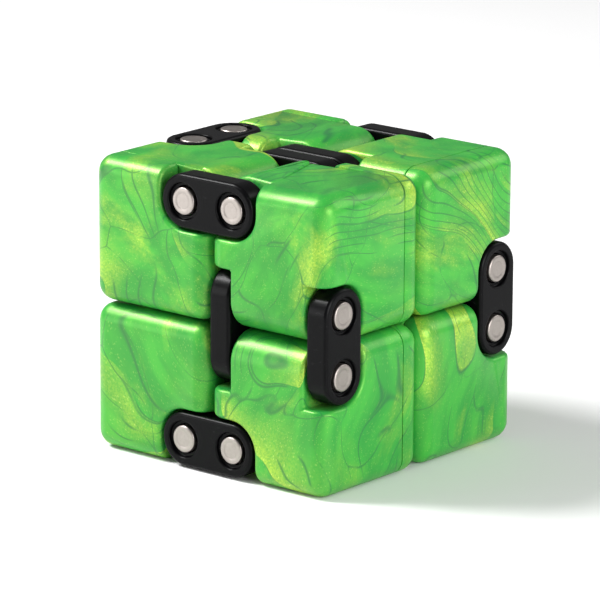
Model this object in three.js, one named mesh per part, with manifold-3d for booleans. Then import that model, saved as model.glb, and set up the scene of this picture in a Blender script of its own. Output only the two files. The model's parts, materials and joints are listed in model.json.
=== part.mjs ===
// Fidget cube: eight small cubes in a closed ring, joined edge to edge by eight double-pivot hinges,
// so that the ring folds over itself without end. Millimetres, +Z up; the origin is the middle of the
// underside of the closed block, and the two faces with hinge plates on show look along -Y and +X.
import * as THREE from "three";
import { mergeVertices } from "three/addons/utils/BufferGeometryUtils.js";
import Module from "manifold-3d";

// Driving dimensions of the block and its cubes
const BLOCK_SIDE = 40;
const CUBE_GAP = 0.3;
const EDGE_RADIUS = 2.4;
const WALL = 1.8;
const SEAM_GAP = 0.3;

// Hinges: the pivot inset is measured from both faces that meet at the hinge edge
const PIVOT_INSET = 3.95;
const LINK_THICKNESS = 3.4;
const LINK_SET_IN = 0.3;
const LINK_FACE_SET_IN = 0.05;
const LINK_CHAMFER = 0.4;
const PIN_DIAMETER = 3.65;
const PIN_CHAMFER = 0.25;
const PIN_SET_IN = 0.1;
const COUNTERBORE_MARGIN = 0.65;
const COUNTERBORE_DEPTH = 0.6;

// Clearances and inner walls
const PIN_CLEARANCE = 0.2;
const POCKET_CLEARANCE = 0.35;
const TUBE_WALL = 1.2;
const POCKET_WALL = 1.5;

// Pegs that locate a cap on its shell
const PEG_DIAMETER = 2;
const PEG_LENGTH = 4;
const PEG_WALL = 1.2;

// Facets
const CORNER_FACETS = 3;
const LINK_END_FACETS = 6;
const ROUND_FACETS = 10;
const INNER_FACETS = 6;

// Derived sizes
const CUBE_SIDE = (BLOCK_SIDE - CUBE_GAP) / 2;
const HALF = CUBE_SIDE / 2;
const PITCH = CUBE_SIDE + CUBE_GAP;
const PIVOT = HALF - PIVOT_INSET;
const PIVOT_SPACING = 2 * PIVOT_INSET + CUBE_GAP;
const LINK_RADIUS = PIVOT_INSET - LINK_SET_IN;
const POCKET_RADIUS = LINK_RADIUS + POCKET_CLEARANCE;
const POCKET_DEPTH = LINK_FACE_SET_IN + LINK_THICKNESS + POCKET_CLEARANCE;
const PIN_RADIUS = PIN_DIAMETER / 2;
const PIN_LENGTH = CUBE_SIDE - 2 * PIN_SET_IN;
const PIN_BORE = PIN_RADIUS + PIN_CLEARANCE;
const PEG_RADIUS = PEG_DIAMETER / 2;
const PEG_SOCKET = PEG_RADIUS + PIN_CLEARANCE;
const PEG_BOSS = PEG_SOCKET + PEG_WALL;
const PEG_PLACE = HALF - WALL - PEG_SOCKET;
const BEYOND = 2 * CUBE_SIDE;

const wasm = await Module();
wasm.setup();

// A solid from a closed geometry
function solid(geometry) {
  const plain = geometry.clone();
  plain.deleteAttribute("normal");
  plain.deleteAttribute("uv");
  const merged = mergeVertices(plain, 1e-4);
  const mesh = new wasm.Mesh({
    numProp: 3,
    vertProperties: merged.getAttribute("position").array,
    triVerts: new Uint32Array(merged.index.array),
  });
  return new wasm.Manifold(mesh);
}

// A geometry from a solid
function geometryOf(shape) {
  const mesh = shape.getMesh();
  const geometry = new THREE.BufferGeometry();
  geometry.setAttribute("position", new THREE.BufferAttribute(mesh.vertProperties, 3));
  geometry.setIndex(new THREE.BufferAttribute(mesh.triVerts, 1));
  const flat = geometry.toNonIndexed();
  flat.computeVertexNormals();
  return flat;
}

// Points on an arc, in equal steps
function arc(x, y, radius, from, to, facets) {
  return Array.from({ length: facets + 1 }, (_, i) => {
    const angle = from + ((to - from) * i) / facets;
    return new THREE.Vector2(x + radius * Math.cos(angle), y + radius * Math.sin(angle));
  });
}

// A square with its own radius at each corner, anticlockwise from the (+, +) corner
function roundedSquare(radii) {
  const points = radii.flatMap((radius, i) => {
    const middle = (i + 0.5) * (Math.PI / 2);
    const x = Math.sign(Math.cos(middle)) * (HALF - radius);
    const y = Math.sign(Math.sin(middle)) * (HALF - radius);
    return arc(x, y, radius, middle - Math.PI / 4, middle + Math.PI / 4, CORNER_FACETS);
  });
  return new THREE.Shape(points);
}

// An outline extruded along Z between two heights
function prism(shape, low, high) {
  const geometry = new THREE.ExtrudeGeometry(shape, { depth: high - low, bevelEnabled: false });
  return geometry.translate(0, 0, low);
}

function box(low, high) {
  const size = new THREE.Vector3().subVectors(high, low);
  const middle = new THREE.Vector3().addVectors(low, high).multiplyScalar(0.5);
  return new THREE.BoxGeometry(size.x, size.y, size.z).translate(middle.x, middle.y, middle.z);
}

// A round bar along Z, whose facets lie inside its circle
function bar(x, y, radius, low, high, facets = ROUND_FACETS) {
  const geometry = new THREE.CylinderGeometry(radius, radius, high - low, facets);
  return geometry.rotateX(Math.PI / 2).translate(x, y, (low + high) / 2);
}

// A round hole's cutter, whose facets lie outside its circle
function bore(x, y, radius, low, high, facets = ROUND_FACETS) {
  return bar(x, y, radius / Math.cos(Math.PI / facets), low, high, facets);
}

// A model cube has its cap on +Z, its near hinge edge along Z at (+X, +Y),
// and its far hinge edge along Y at (-X, -Z). This turns near-edge work onto the far edge.
function toFarEdge(geometry) {
  const turn = new THREE.Matrix4().makeBasis(
    new THREE.Vector3(-1, 0, 0),
    new THREE.Vector3(0, 0, -1),
    new THREE.Vector3(0, -1, 0),
  );
  return geometry.applyMatrix4(turn);
}

// The quadrant round the near pivot that a link plate sweeps, with a round inner corner
function quadrant(radius, low, high) {
  const inner = arc(PIVOT, PIVOT, radius, Math.PI, 1.5 * Math.PI, CORNER_FACETS);
  const points = [
    ...inner,
    new THREE.Vector2(BEYOND, PIVOT - radius),
    new THREE.Vector2(BEYOND, BEYOND),
    new THREE.Vector2(PIVOT - radius, BEYOND),
  ];
  return prism(new THREE.Shape(points), low, high);
}

function roundedCube() {
  const near = roundedSquare([PIVOT_INSET, EDGE_RADIUS, EDGE_RADIUS, EDGE_RADIUS]);
  const far = roundedSquare([EDGE_RADIUS, EDGE_RADIUS, PIVOT_INSET, EDGE_RADIUS]);
  const plain = roundedSquare([EDGE_RADIUS, EDGE_RADIUS, EDGE_RADIUS, EDGE_RADIUS]);
  const alongZ = solid(prism(near, -HALF, HALF));
  const alongY = solid(prism(far, -HALF, HALF).rotateX(Math.PI / 2));
  const alongX = solid(prism(plain, -HALF, HALF).rotateY(Math.PI / 2));
  return alongZ.intersect(alongY).intersect(alongX);
}

// The hollow inside the walls, less pocket walls, pin tubes and peg bosses. A moulding's core draws out
// through the seam, so the hollow has no part that doesn't reach it.
function hollow() {
  const seam = HALF - POCKET_DEPTH;
  const inside = HALF - WALL;
  const low = new THREE.Vector3(-inside, -inside, -inside);
  let space = solid(box(low, low.clone().negate()));
  const tube = PIN_BORE + TUBE_WALL;
  const wall = POCKET_RADIUS + POCKET_WALL;
  const kept = [
    quadrant(wall, HALF - POCKET_DEPTH - SEAM_GAP - POCKET_WALL, BEYOND),
    quadrant(wall, -BEYOND, POCKET_DEPTH + POCKET_WALL - HALF),
    toFarEdge(quadrant(wall, HALF - POCKET_DEPTH - POCKET_WALL, BEYOND)),
    toFarEdge(quadrant(wall, -BEYOND, POCKET_DEPTH + POCKET_WALL - HALF)),
    bar(PIVOT, PIVOT, tube, -BEYOND, BEYOND),
    toFarEdge(bar(PIVOT, PIVOT, tube, -BEYOND, BEYOND)),
    ...pegPlaces().map(([x, y]) => bar(x, y, PEG_BOSS, -BEYOND, BEYOND, INNER_FACETS)),
  ];
  for (const piece of kept) space = space.subtract(solid(piece));
  const drawn = space.decompose().filter((part) => {
    const { min, max } = part.boundingBox();
    return min[2] < seam - SEAM_GAP && max[2] > seam;
  });
  return wasm.Manifold.union(drawn);
}

// The three corners that the near hinge edge leaves free
function pegPlaces() {
  return [
    [-PEG_PLACE, PEG_PLACE],
    [-PEG_PLACE, -PEG_PLACE],
    [PEG_PLACE, -PEG_PLACE],
  ];
}

// Shell and cap of one model cube. The cap is as deep as a pocket, so that its own corner is notched
// right through and the shell's rim is the floor there.
function mouldings() {
  const seam = HALF - POCKET_DEPTH;
  const nearDepth = POCKET_DEPTH + SEAM_GAP / 2;
  const cuts = [
    quadrant(POCKET_RADIUS, HALF - nearDepth, BEYOND),
    quadrant(POCKET_RADIUS, -BEYOND, POCKET_DEPTH - HALF),
    toFarEdge(quadrant(POCKET_RADIUS, HALF - POCKET_DEPTH, BEYOND)),
    toFarEdge(quadrant(POCKET_RADIUS, -BEYOND, POCKET_DEPTH - HALF)),
    bore(PIVOT, PIVOT, PIN_BORE, -BEYOND, BEYOND),
    toFarEdge(bore(PIVOT, PIVOT, PIN_BORE, -BEYOND, BEYOND)),
  ];
  let body = roundedCube().subtract(hollow());
  for (const cut of cuts) body = body.subtract(solid(cut));

  const far = new THREE.Vector3(BEYOND, BEYOND, BEYOND);
  const near = far.clone().negate();
  const aboveShell = box(new THREE.Vector3(-BEYOND, -BEYOND, seam - SEAM_GAP), far);
  const belowCap = box(near, new THREE.Vector3(BEYOND, BEYOND, seam));
  let shell = body.subtract(solid(aboveShell));
  let cap = body.subtract(solid(belowCap));
  const pegEnd = seam - SEAM_GAP - PEG_LENGTH;
  for (const [x, y] of pegPlaces()) {
    const socket = bore(x, y, PEG_SOCKET, pegEnd - PIN_CLEARANCE, BEYOND, INNER_FACETS);
    shell = shell.subtract(solid(socket));
    cap = cap.add(solid(bar(x, y, PEG_RADIUS, pegEnd, HALF - WALL / 2, INNER_FACETS)));
  }
  return { shell: geometryOf(shell), cap: geometryOf(cap) };
}

// A link plate: X from pivot to pivot about its middle, its outer face on Z = 0 and its body below
function linkPlate() {
  const reach = PIVOT_SPACING / 2;
  const radius = LINK_RADIUS - LINK_CHAMFER;
  const outline = new THREE.Shape([
    ...arc(reach, 0, radius, -Math.PI / 2, Math.PI / 2, LINK_END_FACETS),
    ...arc(-reach, 0, radius, Math.PI / 2, 1.5 * Math.PI, LINK_END_FACETS),
  ]);
  const geometry = new THREE.ExtrudeGeometry(outline, {
    depth: LINK_THICKNESS - 2 * LINK_CHAMFER,
    bevelThickness: LINK_CHAMFER,
    bevelSize: LINK_CHAMFER,
    bevelSegments: 1,
  });
  let plate = solid(geometry.translate(0, 0, LINK_CHAMFER - LINK_THICKNESS));
  for (const x of [-reach, reach]) {
    plate = plate.subtract(solid(bore(x, 0, PIN_BORE, -BEYOND, BEYOND)));
    plate = plate.subtract(solid(bar(x, 0, PIN_RADIUS + COUNTERBORE_MARGIN, -COUNTERBORE_DEPTH, BEYOND)));
  }
  return geometryOf(plate);
}

// A pin along Z about its middle, with chamfered ends
function hingePin() {
  const half = PIN_LENGTH / 2;
  const profile = [
    [0, -half],
    [PIN_RADIUS - PIN_CHAMFER, -half],
    [PIN_RADIUS, PIN_CHAMFER - half],
    [PIN_RADIUS, half - PIN_CHAMFER],
    [PIN_RADIUS - PIN_CHAMFER, half],
    [0, half],
  ].map(([x, y]) => new THREE.Vector2(x, y));
  return geometryOf(solid(new THREE.LatheGeometry(profile, ROUND_FACETS).rotateX(Math.PI / 2)));
}

// Each cube's place in the block, by the side of the middle that it is on, and the way its cap faces
const CUBES = {
  upper_left: { side: [-1, -1, 1], cap: [0, -1, 0] },
  upper_front: { side: [1, -1, 1], cap: [0, 1, 0] },
  upper_right: { side: [1, 1, 1], cap: [1, 0, 0] },
  upper_back: { side: [-1, 1, 1], cap: [0, 1, 0] },
  lower_left: { side: [-1, -1, -1], cap: [0, -1, 0] },
  lower_front: { side: [1, -1, -1], cap: [0, 1, 0] },
  lower_right: { side: [1, 1, -1], cap: [1, 0, 0] },
  lower_back: { side: [-1, 1, -1], cap: [0, 1, 0] },
};

// The ring, in order: the two cubes that each hinge joins and the outer face it lies at
const HINGES = [
  { name: "top_front", cubes: ["upper_left", "upper_front"], outward: [0, 0, 1] },
  { name: "side_front", cubes: ["upper_front", "lower_front"], outward: [0, -1, 0] },
  { name: "bottom_front", cubes: ["lower_front", "lower_left"], outward: [0, 0, -1] },
  { name: "left_lower", cubes: ["lower_left", "lower_back"], outward: [-1, 0, 0] },
  { name: "bottom_back", cubes: ["lower_back", "lower_right"], outward: [0, 0, -1] },
  { name: "side_back", cubes: ["lower_right", "upper_right"], outward: [0, 1, 0] },
  { name: "top_back", cubes: ["upper_right", "upper_back"], outward: [0, 0, 1] },
  { name: "left_upper", cubes: ["upper_back", "upper_left"], outward: [-1, 0, 0] },
];

const green = { color: 0x4fbd4c, roughness: 0.35, metalness: 0 };
const black = { color: 0x1b1b1e, roughness: 0.45, metalness: 0 };
const steel = { color: 0xbab2a8, roughness: 0.3, metalness: 1 };

const vector = (numbers) => new THREE.Vector3(...numbers);
const centreOf = (cube) => vector(CUBES[cube].side).multiplyScalar(PITCH / 2);

// The direction from one cube of a hinge to the other, and the hinge axis towards the block's outside
function directions(hinge, from = 0) {
  const [first, second] = [hinge.cubes[from], hinge.cubes[1 - from]];
  const mating = centreOf(second).sub(centreOf(first)).normalize();
  const outward = vector(hinge.outward);
  const axis = new THREE.Vector3().crossVectors(mating, outward);
  if (axis.dot(vector(CUBES[first].side)) < 0) axis.negate();
  return { mating, outward, axis };
}

const block = new THREE.Group();
block.position.z = BLOCK_SIDE / 2;

function place(name, geometry, look, basis, position) {
  const mesh = new THREE.Mesh(geometry, new THREE.MeshStandardMaterial(look));
  mesh.name = name;
  mesh.applyMatrix4(new THREE.Matrix4().makeBasis(...basis).setPosition(position));
  block.add(mesh);
}

// A cube's near hinge is the one whose axis its cap faces. The model cube's X and Y are the near hinge's
// two directions, with Y along the far hinge's axis.
const { shell, cap: lid } = mouldings();
for (const [name, cube] of Object.entries(CUBES)) {
  const cap = vector(cube.cap);
  const own = HINGES.filter((hinge) => hinge.cubes.includes(name));
  const [near, far] = own
    .map((hinge) => directions(hinge, hinge.cubes.indexOf(name)))
    .sort((one, other) => Math.abs(other.axis.dot(cap)) - Math.abs(one.axis.dot(cap)));
  const along = Math.abs(near.mating.dot(far.axis)) > 0.5;
  const basis = along ? [near.outward, near.mating, cap] : [near.mating, near.outward, cap];
  place(name + "_shell", shell, green, basis, centreOf(name));
  place(name + "_cap", lid, green, basis, centreOf(name));
}

const plate = linkPlate();
const pin = hingePin();
for (const hinge of HINGES) {
  const { mating, outward, axis } = directions(hinge);
  const [first, second] = hinge.cubes.map(centreOf);
  const middle = first.clone().add(second).multiplyScalar(0.5).addScaledVector(outward, PIVOT);
  const reach = HALF - LINK_FACE_SET_IN;
  for (const [end, way] of [["outer", 1], ["inner", -1]]) {
    const facing = axis.clone().multiplyScalar(way);
    const across = new THREE.Vector3().crossVectors(facing, mating);
    const at = middle.clone().addScaledVector(facing, reach);
    place(`${hinge.name}_${end}_link`, plate, black, [mating, across, facing], at);
  }
  const across = new THREE.Vector3().crossVectors(axis, mating);
  for (const [cube, way] of [[hinge.cubes[0], -1], [hinge.cubes[1], 1]]) {
    const at = middle.clone().addScaledVector(mating, (way * PIVOT_SPACING) / 2);
    place(`${hinge.name}_pin_${cube}`, pin, steel, [mating, across, axis], at);
  }
}

export default block;
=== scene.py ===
# Fidget cube: eight marbled green cubes in a ring, joined by black link plates on steel pins.
# The frame gives every place and size. A shell, a cap, a plate and a pin are modelled once each and
# copied to their places.
import json
import math
import bpy
from mathutils import Matrix, Vector


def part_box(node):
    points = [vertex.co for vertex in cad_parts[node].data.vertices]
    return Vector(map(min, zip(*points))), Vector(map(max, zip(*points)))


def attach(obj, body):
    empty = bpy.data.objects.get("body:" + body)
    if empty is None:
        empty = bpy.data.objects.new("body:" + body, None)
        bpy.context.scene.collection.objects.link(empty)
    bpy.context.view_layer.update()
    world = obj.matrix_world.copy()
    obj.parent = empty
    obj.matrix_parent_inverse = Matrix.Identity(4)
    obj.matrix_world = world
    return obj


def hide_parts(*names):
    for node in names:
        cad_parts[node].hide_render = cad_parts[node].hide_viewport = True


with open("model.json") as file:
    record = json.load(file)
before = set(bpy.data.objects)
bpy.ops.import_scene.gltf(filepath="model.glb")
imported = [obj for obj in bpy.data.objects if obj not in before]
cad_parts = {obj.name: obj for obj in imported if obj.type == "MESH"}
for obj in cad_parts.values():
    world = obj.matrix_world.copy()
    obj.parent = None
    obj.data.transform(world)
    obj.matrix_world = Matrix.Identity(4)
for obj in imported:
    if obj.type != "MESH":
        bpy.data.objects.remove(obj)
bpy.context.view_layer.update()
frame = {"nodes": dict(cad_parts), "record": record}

MM = 0.001

# Finishing sizes that the frame doesn't hold
EDGE_RADIUS = 2.4 * MM
RIM_RADIUS = 0.6 * MM
SEAM_EDGE = 0.13 * MM
SEAM_WIDTH = 0.1 * MM
WALL = 1.8 * MM
TUBE_WALL = 1.2 * MM
POCKET_WALL = 1.5 * MM
POCKET_CLEARANCE = 0.35 * MM
PIN_CLEARANCE = 0.12 * MM
PEG_RADIUS = 1.0 * MM
PEG_LENGTH = 4.0 * MM
PEG_WALL = 1.2 * MM
PLATE_EDGE = 0.5 * MM
COUNTERBORE_MARGIN = 0.65 * MM
COUNTERBORE_DEPTH = 0.6 * MM
COUNTERBORE_EDGE = 0.2 * MM
PIN_EDGE = 0.22 * MM
# The inset and rise of each step of the ring that the lathe leaves on a pin's end
PIN_RING = ((0.5 * MM, 0.0), (0.05 * MM, -0.03 * MM), (0.07 * MM, 0.0), (0.05 * MM, 0.03 * MM))

# Sides of the round bars
ROD_SIDES = 48
KNUCKLE_SIDES = 96
PEG_SIDES = 24
PLATE_SIDES = 64
PIN_SIDES = 56

# Tolerances
TOUCHING = 0.001 * MM
HAIR = 0.002 * MM

# Angles between faces, in degrees
FLAT_ANGLE = 0.3
SMOOTH_ANGLE = 35
SHARP_ANGLE = 40
PLATE_SHARP_ANGLE = 60


# --- The frame's places ---------------------------------------------------------------------------

def corners(*nodes):
    boxes = [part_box(node) for node in nodes]
    low = Vector([min(box[0][i] for box in boxes) for i in range(3)])
    high = Vector([max(box[1][i] for box in boxes) for i in range(3)])
    return low, high


def middle(*nodes):
    low, high = corners(*nodes)
    return (low + high) / 2


def size(*nodes):
    low, high = corners(*nodes)
    return high - low


def unit(axis, sign=1):
    return Vector([math.copysign(1, sign) if i == axis else 0 for i in range(3)])


def longest(vector):
    return max(range(3), key=lambda i: abs(vector[i]))


def shortest(vector):
    return min(range(3), key=lambda i: abs(vector[i]))


NODES = sorted(frame["nodes"])
CUBES = [node[: -len("_shell")] for node in NODES if node.endswith("_shell")]
HINGES = [node[: -len("_outer_link")] for node in NODES if node.endswith("_outer_link")]
BODY_OF = {
    node: body for body, nodes in frame["record"]["behaviour"]["bodies"].items() for node in nodes
}


def pins_through(cube):
    return [node for node in NODES if node.endswith("_pin_" + cube)]


def pins_of(hinge):
    return [node for node in NODES if node.startswith(hinge + "_pin_")]


def cube_basis(cube):
    """X, Y, Z and centre of a cube in its place: Z out of its cap, its near pin at (+X, +Y)."""
    centre = middle(cube + "_shell", cube + "_cap")
    away = middle(cube + "_cap") - middle(cube + "_shell")
    z_axis = longest(away)
    near = next(pin for pin in pins_through(cube) if longest(size(pin)) == z_axis)
    far = next(pin for pin in pins_through(cube) if pin != near)
    y_axis = longest(size(far))
    x_axis = 3 - y_axis - z_axis
    corner = middle(near) - centre
    x_way, y_way = unit(x_axis, corner[x_axis]), unit(y_axis, corner[y_axis])
    return x_way, y_way, unit(z_axis, away[z_axis]), centre


FIRST = CUBES[0]
FIRST_PIN = pins_through(FIRST)[0]
SIDE = max(size(FIRST + "_shell", FIRST + "_cap"))
HALF = SIDE / 2
PIVOT = max(abs(part) for part in middle(FIRST_PIN) - middle(FIRST + "_shell", FIRST + "_cap"))
PIVOT_INSET = HALF - PIVOT
LINK_THICKNESS, LINK_HEIGHT = sorted(size(HINGES[0] + "_outer_link"))[:2]
LINK_RADIUS = LINK_HEIGHT / 2
ONE_PIN, OTHER_PIN = [middle(node) for node in pins_of(HINGES[0])]
PIVOT_REACH = (ONE_PIN - OTHER_PIN).length / 2
PIN_LENGTH = max(size(FIRST_PIN))
PIN_RADIUS = sorted(size(FIRST_PIN))[1] / 2
BORE_RADIUS = PIN_RADIUS + PIN_CLEARANCE
POCKET_RADIUS = LINK_RADIUS + POCKET_CLEARANCE
POCKET_DEPTH = LINK_THICKNESS + POCKET_CLEARANCE
SEAM = HALF - POCKET_DEPTH
BEYOND = 2 * SIDE


# --- Modelling helpers ----------------------------------------------------------------------------

def only(piece):
    bpy.ops.object.select_all(action="DESELECT")
    piece.select_set(True)
    bpy.context.view_layer.objects.active = piece


def settle(piece):
    """Moves the piece's place, turn and size into its mesh."""
    only(piece)
    bpy.ops.object.transform_apply(location=True, rotation=True, scale=True)
    return piece


def block(low, high):
    low, high = Vector(low), Vector(high)
    bpy.ops.object.select_all(action="DESELECT")
    bpy.ops.mesh.primitive_cube_add(size=1, location=(low + high) / 2, scale=high - low)
    return settle(bpy.context.object)


def rod(x, y, radius, low, high, sides=ROD_SIDES, turn=0.0):
    """A round bar along Z, turned about its own line so that its facets lie as wanted."""
    bpy.ops.object.select_all(action="DESELECT")
    bpy.ops.mesh.primitive_cylinder_add(
        vertices=sides, radius=radius, depth=high - low,
        location=(x, y, (low + high) / 2), rotation=(0, 0, turn),
    )
    return settle(bpy.context.object)


def pick_edges(piece, wanted):
    """Selects the edges whose two ends pass a test, and goes into edit mode."""
    only(piece)
    bpy.context.tool_settings.mesh_select_mode = (False, True, False)
    mesh = piece.data
    for face in mesh.polygons:
        face.select = False
    for vertex in mesh.vertices:
        vertex.select = False
    for edge in mesh.edges:
        first, second = (mesh.vertices[i].co for i in edge.vertices)
        edge.select = wanted(first, second)
    bpy.ops.object.mode_set(mode="EDIT")


def round_edges(piece, wanted, width, segments):
    pick_edges(piece, wanted)
    bpy.ops.mesh.bevel(offset=width, segments=segments, affect="EDGES", clamp_overlap=False)
    bpy.ops.object.mode_set(mode="OBJECT")


def level(a, b):
    """An edge that runs round an end of a bar along Z."""
    return abs(a.z - b.z) < TOUCHING


def combine(piece, tool, operation):
    """One boolean, after which the tool is gone."""
    only(piece)
    change = piece.modifiers.new("cut", "BOOLEAN")
    change.operation = operation
    change.solver = "EXACT"
    change.object = tool
    bpy.ops.object.modifier_apply(modifier=change.name)
    bpy.data.objects.remove(tool)


def cut(piece, tool):
    combine(piece, tool, "DIFFERENCE")


def sharp_edges(piece, angle):
    """The edges whose two faces meet at more than the angle, by their two vertices."""
    sides = {}
    for face in piece.data.polygons:
        for key in face.edge_keys:
            sides.setdefault(key, []).append(face.normal)
    limit = math.cos(math.radians(angle))
    return {
        key for key, normals in sides.items()
        if len(normals) == 2 and normals[0].dot(normals[1]) < limit
    }


def soften(piece, width, segments, angle=SHARP_ANGLE, leave=lambda a, b: False):
    """Rounds every edge sharper than the angle, apart from those to leave."""
    vertices = piece.data.vertices
    ends = set()
    for first, second in sharp_edges(piece, angle):
        a, b = vertices[first].co.copy().freeze(), vertices[second].co.copy().freeze()
        if not leave(a, b):
            ends |= {(a, b), (b, a)}
    round_edges(
        piece, lambda a, b: (a.copy().freeze(), b.copy().freeze()) in ends, width, segments
    )


def tidy(piece):
    """Merges doubles and dissolves what a boolean leaves on flat stretches."""
    only(piece)
    bpy.ops.object.mode_set(mode="EDIT")
    bpy.ops.mesh.select_all(action="SELECT")
    bpy.ops.mesh.remove_doubles(threshold=HAIR)
    bpy.ops.mesh.dissolve_limited(angle_limit=math.radians(FLAT_ANGLE))
    bpy.ops.mesh.normals_make_consistent(inside=False)
    bpy.ops.object.mode_set(mode="OBJECT")


def smooth(piece):
    only(piece)
    bpy.ops.object.shade_smooth_by_angle(angle=math.radians(SMOOTH_ANGLE))
    change = piece.modifiers.new("normals", "WEIGHTED_NORMAL")
    change.keep_sharp = True
    bpy.ops.object.modifier_apply(modifier=change.name)
    return piece


def to_far_edge(piece):
    """Turns work on the near hinge edge onto the far one, along Y at (-X, -Z)."""
    piece.matrix_world = Matrix(((-1, 0, 0), (0, 0, -1), (0, -1, 0))).to_4x4()
    return settle(piece)


def copied(piece, name, basis, place):
    """A copy with its own mesh, moved and, for the other hand, mirrored."""
    mesh = piece.data.copy()
    matrix = Matrix(basis).transposed().to_4x4()
    matrix.translation = place
    mesh.transform(matrix)
    if matrix.determinant() < 0:
        mesh.flip_normals()
    copy = bpy.data.objects.new(name, mesh)
    bpy.context.collection.objects.link(copy)
    return copy


# --- The mouldings --------------------------------------------------------------------------------

def quadrant(radius, low, high):
    """The corner round the near pivot that a plate sweeps, with a round inner corner."""
    inner = PIVOT - radius
    piece = block((inner, inner, low), (BEYOND, BEYOND, high))
    round_edges(
        piece, lambda a, b: max(a.x, b.x, a.y, b.y) < inner + TOUCHING, radius, segments=16
    )
    return piece


def peg_places():
    place = HALF - WALL - PEG_RADIUS - PIN_CLEARANCE
    return [(-place, place), (-place, -place), (place, -place)]


def knuckle_trim():
    """What lies outside the round of the near hinge edge, which turns about the pivot."""
    outside = HALF + EDGE_RADIUS
    trim = block((PIVOT, PIVOT, -BEYOND), (outside, outside, BEYOND))
    cut(trim, rod(PIVOT, PIVOT, PIVOT_INSET + HAIR, -2 * BEYOND, 2 * BEYOND, KNUCKLE_SIDES))
    return trim


def rounded_cube():
    piece = block((-HALF, -HALF, -HALF), (HALF, HALF, HALF))
    round_edges(piece, lambda a, b: True, EDGE_RADIUS, segments=8)
    cut(piece, knuckle_trim())
    cut(piece, to_far_edge(knuckle_trim()))
    return piece


def hollow():
    """The space inside a cube, round its pocket walls, pin tubes and peg bosses."""
    inside = HALF - WALL
    space = block((-inside, -inside, -inside), (inside, inside, inside))
    wall = POCKET_RADIUS + POCKET_WALL
    depth = POCKET_DEPTH + POCKET_WALL
    tube = BORE_RADIUS + TUBE_WALL
    boss = PEG_RADIUS + PIN_CLEARANCE + PEG_WALL
    cut(space, quadrant(wall, HALF - depth, BEYOND))
    cut(space, quadrant(wall, -BEYOND, depth - HALF))
    cut(space, to_far_edge(quadrant(wall, HALF - depth, BEYOND)))
    cut(space, to_far_edge(quadrant(wall, -BEYOND, depth - HALF)))
    cut(space, rod(PIVOT, PIVOT, tube, -BEYOND, BEYOND))
    cut(space, to_far_edge(rod(PIVOT, PIVOT, tube, -BEYOND, BEYOND)))
    for x, y in peg_places():
        cut(space, rod(x, y, boss, -BEYOND, BEYOND, PEG_SIDES))
    return space


def round_rims(piece, seam):
    """Rounds the pocket rims well and the seam a little."""
    soften(piece, RIM_RADIUS, segments=3, leave=seam)
    soften(piece, SEAM_EDGE, segments=2, leave=lambda a, b: not seam(a, b))


def shell_moulding():
    piece = rounded_cube()
    rim = SEAM - SEAM_WIDTH
    inner = PIVOT - POCKET_RADIUS
    cut(piece, block((-BEYOND, -BEYOND, rim), (BEYOND, BEYOND, BEYOND)))
    cut(piece, quadrant(POCKET_RADIUS, -BEYOND, POCKET_DEPTH - HALF))
    cut(piece, to_far_edge(quadrant(POCKET_RADIUS, HALF - POCKET_DEPTH, BEYOND)))
    cut(piece, to_far_edge(quadrant(POCKET_RADIUS, -BEYOND, POCKET_DEPTH - HALF)))
    tidy(piece)
    round_rims(
        piece, lambda a, b: min(a.z, b.z) > rim - TOUCHING and min(a.x, b.x, a.y, b.y) < inner
    )
    cut(piece, rod(PIVOT, PIVOT, BORE_RADIUS, -BEYOND, BEYOND))
    cut(piece, to_far_edge(rod(PIVOT, PIVOT, BORE_RADIUS, -BEYOND, BEYOND)))
    cut(piece, hollow())
    socket_floor = rim - PEG_LENGTH - PIN_CLEARANCE
    for x, y in peg_places():
        cut(piece, rod(x, y, PEG_RADIUS + PIN_CLEARANCE, socket_floor, BEYOND, PEG_SIDES))
    return piece


def cap_moulding():
    piece = rounded_cube()
    cut(piece, block((-BEYOND, -BEYOND, -BEYOND), (BEYOND, BEYOND, SEAM)))
    cut(piece, quadrant(POCKET_RADIUS, -BEYOND, BEYOND))
    tidy(piece)
    round_rims(piece, lambda a, b: max(a.z, b.z) < SEAM + TOUCHING)
    cut(piece, hollow())
    peg_end = SEAM - SEAM_WIDTH - PEG_LENGTH
    for x, y in peg_places():
        combine(piece, rod(x, y, PEG_RADIUS, peg_end, HALF - WALL / 2, PEG_SIDES), "UNION")
    return piece


# --- Link plates and pins -------------------------------------------------------------------------

def link_plate():
    """X from pivot to pivot, its outer face on Z = 0 and its body below."""
    half_a_side = math.pi / PLATE_SIDES
    piece = rod(0, 0, LINK_RADIUS, -LINK_THICKNESS, 0, PLATE_SIDES, half_a_side)
    for side in (-1, 1):
        pick_edges(piece, lambda a, b: min(side * a.x, side * b.x) > 0)
        bpy.ops.transform.translate(value=(side * PIVOT_REACH, 0, 0))
        bpy.ops.object.mode_set(mode="OBJECT")
    round_edges(piece, level, PLATE_EDGE, segments=4)
    counterbore = PIN_RADIUS + COUNTERBORE_MARGIN
    for x in (-PIVOT_REACH, PIVOT_REACH):
        cut(piece, rod(x, 0, counterbore, -COUNTERBORE_DEPTH, BEYOND, PIN_SIDES))
        cut(piece, rod(x, 0, BORE_RADIUS, -BEYOND, BEYOND, PIN_SIDES))
    tidy(piece)
    soften(piece, COUNTERBORE_EDGE, segments=3, angle=PLATE_SHARP_ANGLE)
    return piece


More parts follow.
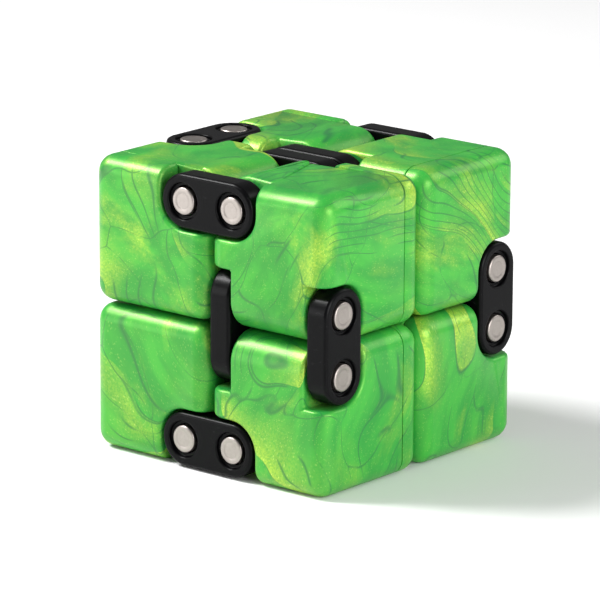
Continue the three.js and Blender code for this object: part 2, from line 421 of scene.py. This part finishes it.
def hinge_pin():
    """A pin along Z about its middle, its ends chamfered and faintly ringed by the lathe."""
    piece = rod(0, 0, PIN_RADIUS, -PIN_LENGTH / 2, PIN_LENGTH / 2, PIN_SIDES)
    round_edges(piece, level, PIN_EDGE, segments=3)
    only(piece)
    bpy.context.tool_settings.mesh_select_mode = (False, False, True)
    for face in piece.data.polygons:
        face.select = abs(face.normal.z) > 0.99
    bpy.ops.object.mode_set(mode="EDIT")
    for inset, rise in PIN_RING:
        bpy.ops.mesh.inset(thickness=inset, depth=rise)
    bpy.ops.object.mode_set(mode="OBJECT")
    return piece


# --- Material nodes -------------------------------------------------------------------------------

def new_group(name, inputs, outputs):
    """A shader node group. Inputs and outputs are (name, kind, value or None)."""
    group = bpy.data.node_groups.new(name, "ShaderNodeTree")
    for in_out, sockets in (("INPUT", inputs), ("OUTPUT", outputs)):
        for label, kind, value in sockets:
            socket = group.interface.new_socket(
                label, in_out=in_out, socket_type="NodeSocket" + kind
            )
            if value is not None:
                socket.default_value = value
    return group


class Nodes:
    """Adds nodes to a tree. A value that is a socket is linked, and any other value is set."""

    def __init__(self, tree):
        self.tree = tree

    def feed(self, socket, value):
        if isinstance(value, bpy.types.NodeSocket):
            self.tree.links.new(value, socket)
        else:
            socket.default_value = value

    def add(self, kind, inputs, **settings):
        node = self.tree.nodes.new("ShaderNode" + kind)
        for key, value in settings.items():
            setattr(node, key, value)
        for key, value in inputs.items():
            self.feed(node.inputs[key], value)
        return node

    def math(self, operation, *values):
        return self.add("Math", dict(enumerate(values)), operation=operation).outputs[0]

    def vector(self, operation, first, second):
        place = 3 if operation == "SCALE" else 1
        return self.add("VectorMath", {0: first, place: second}, operation=operation).outputs[0]

    def noise(self, place, scale, detail=2.0, roughness=0.5, output="Fac"):
        inputs = {"Vector": place, "Scale": scale, "Detail": detail, "Roughness": roughness}
        return self.add("TexNoise", inputs).outputs[output]

    def wander(self, place, scale, detail, roughness, reach):
        """A smooth offset, up to half the reach each way."""
        given = self.noise(place, scale, detail, roughness, "Color")
        centred = self.vector("SUBTRACT", given, (0.5, 0.5, 0.5))
        return self.vector("SCALE", centred, reach)

    def cells(self, place, scale, feature):
        inputs = {"Vector": place, "Scale": scale, "Randomness": 1.0}
        return self.add("TexVoronoi", inputs, feature=feature).outputs

    def between(self, value, low, high):
        """0 below low and 1 above high, with a smooth change between."""
        inputs = {"Value": value, "From Min": low, "From Max": high}
        return self.add("MapRange", inputs, interpolation_type="SMOOTHSTEP").outputs[0]

    def fading(self, value, low, high):
        """1 below low and 0 above high."""
        return self.math("SUBTRACT", 1.0, self.between(value, low, high))

    def scaled(self, value, by, plus):
        return self.math("MULTIPLY_ADD", value, by, plus)

    def mix(self, share, first, second):
        """A mix of two colours."""
        node = self.add("Mix", {}, data_type="RGBA")
        for i, value in ((0, share), (6, first), (7, second)):
            self.feed(node.inputs[i], value)
        return node.outputs[2]

    def bump(self, height, strength, distance):
        inputs = {"Height": height, "Strength": strength, "Distance": distance}
        return self.add("Bump", inputs).outputs[0]


def flow_group():
    """Marbling in a pearl melt: light clouds, dark veins round them and mica flakes, some of them
    with a painted glint.

    Place is in millimetres, so the scales are in turns per millimetre.
    """
    outputs = [(label, "Float", None) for label in ("Clouds", "Veins", "Flakes and glints", "Streaks")]
    group = new_group("marbled flow", [("Place", "Vector", None)], outputs)
    n = Nodes(group)
    place = group.nodes.new("NodeGroupInput").outputs["Place"]
    out = group.nodes.new("NodeGroupOutput")

    # The flow: drawn out one way, and swirled
    swirl = n.wander(place, scale=0.045, detail=1.5, roughness=0.45, reach=16.0)
    drawn_out = n.vector("MULTIPLY", place, (0.6, 1.25, 1.0))
    bent = n.vector("ADD", drawn_out, swirl)

    # Sheets of melt: each sheet fades from dark to light and ends at the next one's edge
    sheets = n.math("MULTIPLY", n.noise(bent, scale=0.04, detail=0.6, roughness=0.35), 7.0)
    fade = n.math("FRACT", sheets)
    edge = n.math("PINGPONG", sheets, 0.5)
    patches = n.between(n.noise(bent, scale=0.06, detail=3.0, roughness=0.55), 0.42, 0.62)
    haze = n.between(n.noise(bent, scale=0.085, detail=4.0, roughness=0.6), 0.52, 0.74)
    haze = n.math("MULTIPLY", haze, 0.8)
    speckle = n.between(n.noise(place, scale=3.2, detail=4.0, roughness=0.7), 0.36, 0.62)
    rising = n.math("MULTIPLY", n.math("POWER", fade, 2.2), patches)
    rising = n.math("MAXIMUM", rising, haze)
    clouds = n.math("MULTIPLY", rising, n.scaled(speckle, by=0.6, plus=0.45))

    # Veins: the sheets' edges, cracks that branch between them, and nested arcs
    edge_line = n.fading(edge, 0.0, 0.02)
    edge_shown = n.between(n.noise(place, scale=0.09), 0.44, 0.56)
    wander = n.wander(bent, scale=0.1, detail=0.6, roughness=0.4, reach=12.0)
    wandering = n.vector("ADD", bent, wander)
    broken = n.between(n.noise(place, scale=0.3), 0.36, 0.56)
    cells = n.cells(wandering, scale=0.085, feature="DISTANCE_TO_EDGE")
    crack = n.fading(cells["Distance"], 0.0, 0.013)
    crack = n.math("MULTIPLY", crack, n.scaled(broken, by=0.75, plus=0.2))
    arcs = n.math("MULTIPLY", n.noise(bent, scale=0.04, detail=0.5), 30.0)
    arc_line = n.fading(n.math("PINGPONG", arcs, 0.5), 0.0, 0.13)
    arc_shown = n.between(n.noise(place, scale=0.075, detail=1.0), 0.53, 0.6)
    veins = n.math("MAXIMUM", n.math("MULTIPLY", edge_line, edge_shown), crack)
    veins = n.math("MAXIMUM", veins, n.math("MULTIPLY", arc_line, arc_shown))

    # Mica flakes, a random share of them with a painted glint, and the fine streaks that the flow
    # leaves
    mica = n.cells(bent, scale=4.5, feature="F1")
    lit = n.add("SeparateColor", {"Color": mica["Color"]}).outputs[0]
    spot = n.fading(mica["Distance"], 0.15, 0.5)
    flakes = n.math("MULTIPLY", n.between(lit, 0.55, 1.0), spot)
    along = n.vector("MULTIPLY", bent, (0.35, 1.3, 1.3))
    streaks = n.noise(along, scale=0.22, detail=4.0)

    results = {"Clouds": clouds, "Veins": veins, "Flakes and glints": flakes, "Streaks": streaks}
    for label, value in results.items():
        n.feed(out.inputs[label], value)
    return group


def grain_group():
    """A moulded or turned surface's fine unevenness, and sparse scuffs. Place is in millimetres."""
    inputs = [("Place", "Vector", None), ("Fineness", "Float", 3.0), ("Scuffs", "Float", 0.5)]
    outputs = [("Grain", "Float", None), ("Scuffed", "Float", None)]
    group = new_group("fine grain", inputs, outputs)
    n = Nodes(group)
    given = group.nodes.new("NodeGroupInput").outputs
    out = group.nodes.new("NodeGroupOutput")
    grain = n.noise(given["Place"], given["Fineness"], detail=4.0, roughness=0.6)
    long_way = n.vector("MULTIPLY", given["Place"], (0.25, 2.4, 1.1))
    scuffs = n.between(n.noise(long_way, scale=1.3, detail=6.0, roughness=0.75), 0.62, 0.7)
    n.feed(out.inputs["Grain"], grain)
    n.feed(out.inputs["Scuffed"], n.math("MULTIPLY", scuffs, given["Scuffs"]))
    return group


FLOW = flow_group()
GRAIN = grain_group()


# --- Materials ------------------------------------------------------------------------------------

DEEP_GREEN = (0.015, 0.29, 0.045, 1.0)
MID_GREEN = (0.038, 0.4, 0.05, 1.0)
LIME = (0.42, 0.62, 0.07, 1.0)
# The pale colour of mica flakes, brightened into painted glints
PALE_LIME_GLINT = (0.85, 0.92, 0.25, 1.0)
VEIN_GREEN = (0.01, 0.16, 0.05, 1.0)
PEARL_TINT = (1.0, 0.88, 0.3, 1.0)
BLACK = (0.0015, 0.0015, 0.0019, 1.0)
SCUFFED_BLACK = (0.02, 0.02, 0.021, 1.0)
DARK_STEEL = (0.32, 0.285, 0.26, 1.0)
LIGHT_STEEL = (0.46, 0.42, 0.39, 1.0)
SCUFFED_STEEL = (0.3, 0.28, 0.26, 1.0)
PALE_GREY = (0.9, 0.9, 0.9, 1.0)
WHITE = (1, 1, 1, 1)


def new_material(name, **constants):
    """A material and its shader's inputs. Values that are the same all over are set here."""
    material = bpy.data.materials.new(name)
    material.use_nodes = True
    shader = material.node_tree.nodes["Principled BSDF"].inputs
    for key, value in constants.items():
        shader[key.replace("_", " ")].default_value = value
    return material, Nodes(material.node_tree), shader


def millimetres(n, turn=(0, 0, 0), shift=(0, 0, 0)):
    """Object coordinates in millimetres, turned and shifted for a pattern of the piece's own."""
    given = n.add("TexCoord", {}).outputs["Object"]
    scale = (1 / MM, 1 / MM, 1 / MM)
    inputs = {"Vector": given, "Scale": scale, "Rotation": turn, "Location": shift}
    return n.add("Mapping", inputs).outputs[0]


def grained(n, place, fineness, scuffs):
    inputs = {"Place": place, "Fineness": fineness, "Scuffs": scuffs}
    return n.add("Group", inputs, node_tree=GRAIN).outputs


def marbled(cube, turn, shift):
    material, n, shader = new_material(
        "marbled pearl " + cube.replace("_", " "),
        IOR=1.55, Specular_Tint=PEARL_TINT, Coat_Roughness=0.14, Coat_IOR=1.45,
    )
    place = millimetres(n, turn, shift)
    flow = n.add("Group", {"Place": place}, node_tree=FLOW).outputs
    grain = grained(n, place, fineness=3.0, scuffs=0.25)
    ground = n.mix(n.between(flow["Streaks"], 0.35, 0.7), DEEP_GREEN, MID_GREEN)
    body = n.mix(flow["Clouds"], ground, LIME)
    # Pale mica flakes with painted glints on a random share of them, more of them in the clouds
    flake_glints = n.math("MULTIPLY", flow["Flakes and glints"], n.scaled(flow["Clouds"], by=0.5, plus=0.12))
    body = n.mix(flake_glints, body, PALE_LIME_GLINT)
    body = n.mix(n.math("MULTIPLY", flow["Veins"], 0.85), body, VEIN_GREEN)
    n.feed(shader["Base Color"], body)
    uneven = n.scaled(grain["Grain"], by=0.16, plus=0.32)
    scuffed = n.math("MULTIPLY", grain["Scuffed"], 0.2)
    n.feed(shader["Roughness"], n.math("ADD", uneven, scuffed))
    n.feed(shader["Metallic"], n.scaled(flow["Clouds"], by=0.25, plus=0.12))
    n.feed(shader["Coat Weight"], n.scaled(grain["Grain"], by=0.08, plus=0.03))
    height = n.scaled(flow["Flakes and glints"], by=0.6, plus=grain["Grain"])
    n.feed(shader["Normal"], n.bump(height, strength=0.2, distance=0.05 * MM))
    return material


def satin_black():
    material, n, shader = new_material("satin black nylon", IOR=1.16, Coat_Roughness=0.2)
    grain = grained(n, millimetres(n), fineness=4.0, scuffs=1.0)
    n.feed(shader["Base Color"], n.mix(grain["Scuffed"], BLACK, SCUFFED_BLACK))
    n.feed(shader["Roughness"], n.scaled(grain["Grain"], by=0.22, plus=0.27))
    n.feed(shader["Coat Weight"], n.math("MULTIPLY", grain["Grain"], 0.12))
    n.feed(shader["Normal"], n.bump(grain["Grain"], strength=0.25, distance=0.05 * MM))
    return material


def turned_steel():
    material, n, shader = new_material("turned steel", IOR=1.5, Metallic=1.0)
    grain = grained(n, millimetres(n), fineness=2.5, scuffs=1.0)
    body = n.mix(grain["Grain"], DARK_STEEL, LIGHT_STEEL)
    scuffed = n.math("MULTIPLY", grain["Scuffed"], 0.4)
    n.feed(shader["Base Color"], n.mix(scuffed, body, SCUFFED_STEEL))
    n.feed(shader["Roughness"], n.scaled(grain["Grain"], by=0.22, plus=0.3))
    n.feed(shader["Normal"], n.bump(grain["Grain"], strength=0.2, distance=0.04 * MM))
    return material


# --- Pieces in their places -----------------------------------------------------------------------

# From one cube to the next, the marbling turns by these radians and moves by these millimetres
TURN_STEP = (0.7, 1.3, 0.4)
SHIFT_STEP = (13.0, 29.0, 19.0)


def placed(piece, name, node, basis, place, material):
    """A copy of a model piece that stands for a CAD node and rides on its body."""
    copy = copied(piece, name, basis, place)
    copy.data.materials.clear()
    copy.data.materials.append(material)
    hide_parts(node)
    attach(copy, BODY_OF[node])


shell = smooth(shell_moulding())
cap = smooth(cap_moulding())
plate = smooth(link_plate())
pin = smooth(hinge_pin())

for number, cube in enumerate(CUBES):
    *basis, centre = cube_basis(cube)
    turn = [step * number for step in TURN_STEP]
    shift = [step * number for step in SHIFT_STEP]
    green = marbled(cube, turn, shift)
    placed(shell, cube + "_moulded_shell", cube + "_shell", basis, centre, green)
    placed(cap, cube + "_moulded_cap", cube + "_cap", basis, centre, green)

black = satin_black()
steel = turned_steel()
for hinge in HINGES:
    pins = pins_of(hinge)
    for end in ("outer", "inner"):
        node = f"{hinge}_{end}_link"
        thin, long = shortest(size(node)), longest(size(node))
        centre = middle(node)
        facing = unit(thin, (centre - middle(*pins))[thin])
        along = unit(long)
        face = centre + facing * (LINK_THICKNESS / 2)
        basis = (along, facing.cross(along), facing)
        placed(plate, f"{hinge}_{end}_plate", node, basis, face, black)
    for node in pins:
        length = longest(size(node))
        along, across = unit(length), unit((length + 1) % 3)
        basis = (across, along.cross(across), along)
        name = node.replace("_pin_", "_turned_pin_")
        placed(pin, name, node, basis, middle(node), steel)

for model in (shell, cap, plate, pin):
    bpy.data.objects.remove(model)


# --- Floor, light and camera ----------------------------------------------------------------------

FLOOR_REACH = 1.5
FLOOR_THICKNESS = 0.01
AIM = (0, 0, 0.02)
WORLD_STRENGTH = 0.24

CAMERA_AZIMUTH = 0.69631388
CAMERA_ELEVATION = 0.25933034
CAMERA_ROLL = 0.00474889
CAMERA_DISTANCE = 617.71 * MM
CAMERA_ASIDE = -0.6732 * MM
CAMERA_UP = -0.4117 * MM
SENSOR = 36.0
FOCAL_LENGTH = 278.81


def plain_floor():
    floor = block((-FLOOR_REACH, -FLOOR_REACH, -FLOOR_THICKNESS), (FLOOR_REACH, FLOOR_REACH, 0))
    floor.name = "floor"
    material, _, _ = new_material("pale floor", Base_Color=PALE_GREY, Roughness=0.7)
    floor.data.materials.append(material)


def soft_light(name, place, width, power):
    """A round light that faces the object."""
    data = bpy.data.lights.new(name, "AREA")
    data.shape = "DISK"
    data.size = width
    data.energy = power
    light = bpy.data.objects.new(name, data)
    light.location = place
    light.rotation_euler = (Vector(AIM) - Vector(place)).to_track_quat("-Z", "Y").to_euler()
    bpy.context.collection.objects.link(light)


def pale_world():
    world = bpy.data.worlds.new("studio")
    world.use_nodes = True
    background = world.node_tree.nodes["Background"].inputs
    background["Color"].default_value = WHITE
    background["Strength"].default_value = WORLD_STRENGTH
    bpy.context.scene.world = world


def aim_camera():
    azimuth_cos, azimuth_sin = math.cos(CAMERA_AZIMUTH), math.sin(CAMERA_AZIMUTH)
    flat = math.cos(CAMERA_ELEVATION)
    back = Vector((azimuth_sin * flat, -azimuth_cos * flat, math.sin(CAMERA_ELEVATION)))
    sideways = Vector((azimuth_cos, azimuth_sin, 0))
    upright = back.cross(sideways)
    roll_cos, roll_sin = math.cos(CAMERA_ROLL), math.sin(CAMERA_ROLL)
    aside = roll_cos * sideways + roll_sin * upright
    above = roll_cos * upright - roll_sin * sideways
    place = Vector(AIM) + CAMERA_ASIDE * aside + CAMERA_UP * above + CAMERA_DISTANCE * back
    data = bpy.data.cameras.new("camera")
    data.sensor_width = SENSOR
    data.lens = FOCAL_LENGTH
    camera = bpy.data.objects.new("camera", data)
    turn = Matrix((aside, above, back)).transposed().to_4x4()
    camera.matrix_world = Matrix.Translation(place) @ turn
    bpy.context.collection.objects.link(camera)
    bpy.context.scene.camera = camera


plain_floor()
soft_light("key", (-0.35, -0.2, 0.46), width=0.21, power=4.9)
soft_light("fill", (0.45, -0.10, 0.16), width=0.30, power=2.0)
soft_light("front", (-0.34, -0.40, 0.10), width=0.22, power=0.55)
soft_light("back", (0.3, 0.5, 0.36), width=0.35, power=1.1)
pale_world()
bpy.context.scene.view_settings.view_transform = "Standard"
aim_camera()
